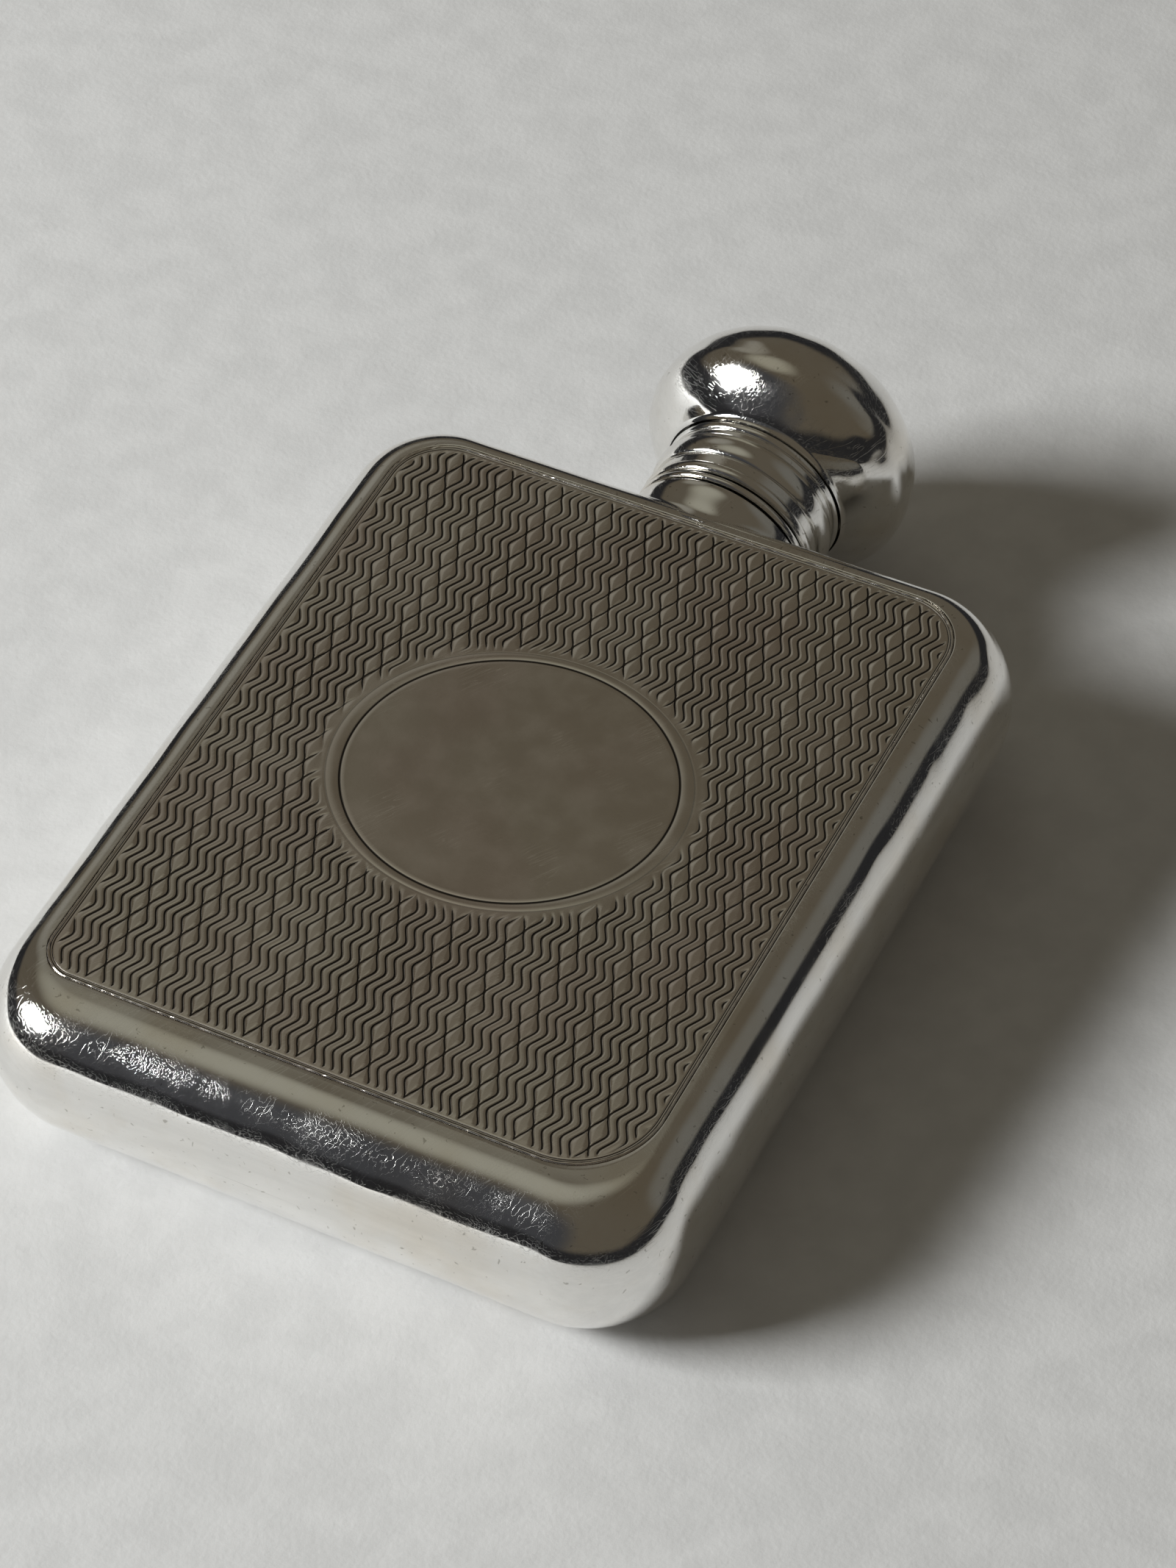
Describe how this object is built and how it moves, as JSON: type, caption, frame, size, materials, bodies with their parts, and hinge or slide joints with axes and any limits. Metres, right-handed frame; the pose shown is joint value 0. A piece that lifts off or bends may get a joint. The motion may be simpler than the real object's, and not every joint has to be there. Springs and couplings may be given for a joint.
{
  "type": "pocket hip flask",
  "caption": "Flat silver pocket flask with an engine-turned panel, rolled edges, a short reeded neck and a ball-shaped screw cap.",
  "frame": {"origin": "centre of the bounding box at its bottom, under the neck axis, with the flask lying on its back", "axes": "+Y along the neck from the base to the cap, +Z out of the engine-turned front, +X to the right across the body"},
  "size_m": [0.0634, 0.0992, 0.0252],
  "materials": {
    "polished_silver": "mirror polished sterling silver with fine scratches and light tarnish",
    "engraved_silver": "engine-turned sterling silver, slightly satin from wear",
    "inner_silver": "turned silver, unpolished",
    "cork": "natural cork"
  },
  "bodies": {
    "flask": {"front_shell": "polished_silver", "back_shell": "polished_silver", "front_panel": "engraved_silver", "back_panel": "engraved_silver", "neck_collar": "polished_silver", "neck_ring": "polished_silver", "neck_tube": "inner_silver"},
    "seal": {"cork_wad": "cork", "cork_washer": "inner_silver"},
    "cap": {"cap_dome": "polished_silver", "cap_underside": "polished_silver", "cap_skirt": "polished_silver", "threaded_bush": "inner_silver", "crown_plate": "inner_silver", "cork_rivet": "inner_silver"}
  },
  "joints": [
    {"name": "cap_lift", "type": "slide", "parent": "flask", "child": "seal", "axis": [0, 1, 0], "range_m": [0, 0.02]},
    {"name": "cap_turn", "type": "hinge", "parent": "seal", "child": "cap", "pos_m": [0, 0.03, 0.0126], "axis": [0, 1, 0], "range_deg": [0, 3606]}
  ],
  "couplings": [
    {"joint": "cap_turn", "follows": "cap_lift", "rad_per_m": 3141.6}
  ]
}
